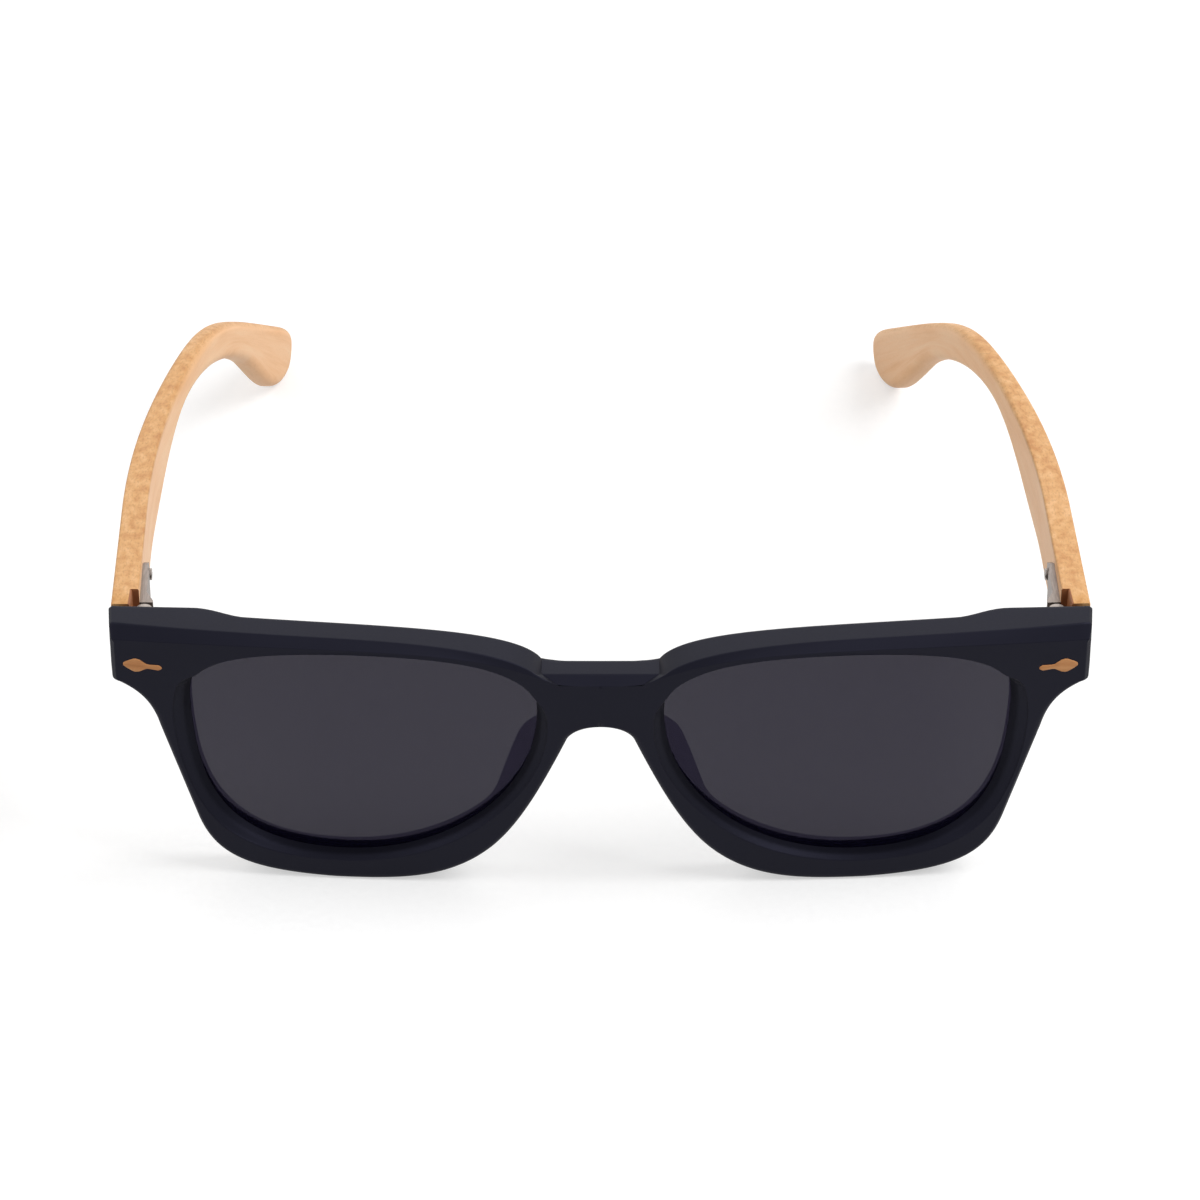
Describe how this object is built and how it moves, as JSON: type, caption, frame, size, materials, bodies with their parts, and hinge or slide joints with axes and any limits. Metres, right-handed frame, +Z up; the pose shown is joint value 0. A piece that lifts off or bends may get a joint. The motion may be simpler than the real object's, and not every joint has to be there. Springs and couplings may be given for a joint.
{
  "type": "sunglasses",
  "caption": "Sunglasses with a matte black moulded front, smoke-grey lenses and bamboo temples that fold on sprung hinges, standing open.",
  "frame": {"origin": "on the table, under the middle of the bounding box", "axes": "+Y from the front to the ear tips, +Z up, +X towards the wearer's left hand as seen from the front, which is the right of the picture"},
  "size_m": [0.1459, 0.1534, 0.047],
  "materials": {
    "front": "fine matte black moulding",
    "lens": "smoke-grey tint, see-through",
    "inlay": "oiled bamboo",
    "hinge": "satin",
    "screw": "satin",
    "spring": "drawn wire",
    "temple": "smooth clear-coated bamboo"
  },
  "bodies": {
    "front": {"front_frame": "front", "lens_left": "lens", "lens_right": "lens", "inlay_left": "inlay", "inlay_right": "inlay", "hinge_leaf_left": "hinge", "hinge_leaf_right": "hinge", "hinge_screw_left": "screw", "hinge_screw_right": "screw"},
    "left_carriage": {"spring_carriage_left": "hinge", "spring_stop_left": "hinge"},
    "right_carriage": {"spring_carriage_right": "hinge", "spring_stop_right": "hinge"},
    "left_temple": {"temple_left": "temple", "spring_housing_left": "hinge", "housing_screw_left": "screw", "flex_spring_left": "spring"},
    "right_temple": {"temple_right": "temple", "spring_housing_right": "hinge", "housing_screw_right": "screw", "flex_spring_right": "spring"}
  },
  "joints": [
    {"name": "left_fold", "type": "hinge", "parent": "front", "child": "left_carriage", "pos_m": [-0.0676, -0.06531, 0.0416], "axis": [0, 0, -1], "range_deg": [-2, 84]},
    {"name": "right_fold", "type": "hinge", "parent": "front", "child": "right_carriage", "pos_m": [0.0676, -0.06531, 0.0416], "axis": [0, 0, 1], "range_deg": [-4.6, 75]},
    {"name": "left_spring_travel", "type": "slide", "parent": "left_carriage", "child": "left_temple", "axis": [0, 1, 0], "range_m": [0, 0.0012], "stiffness_N_per_m": 2500, "springref_m": -0.001, "deforming": ["flex_spring_left"]},
    {"name": "right_spring_travel", "type": "slide", "parent": "right_carriage", "child": "right_temple", "axis": [-0.0454, 0.999, 0], "range_m": [0, 0.0012], "stiffness_N_per_m": 2500, "springref_m": -0.001, "deforming": ["flex_spring_right"]}
  ]
}
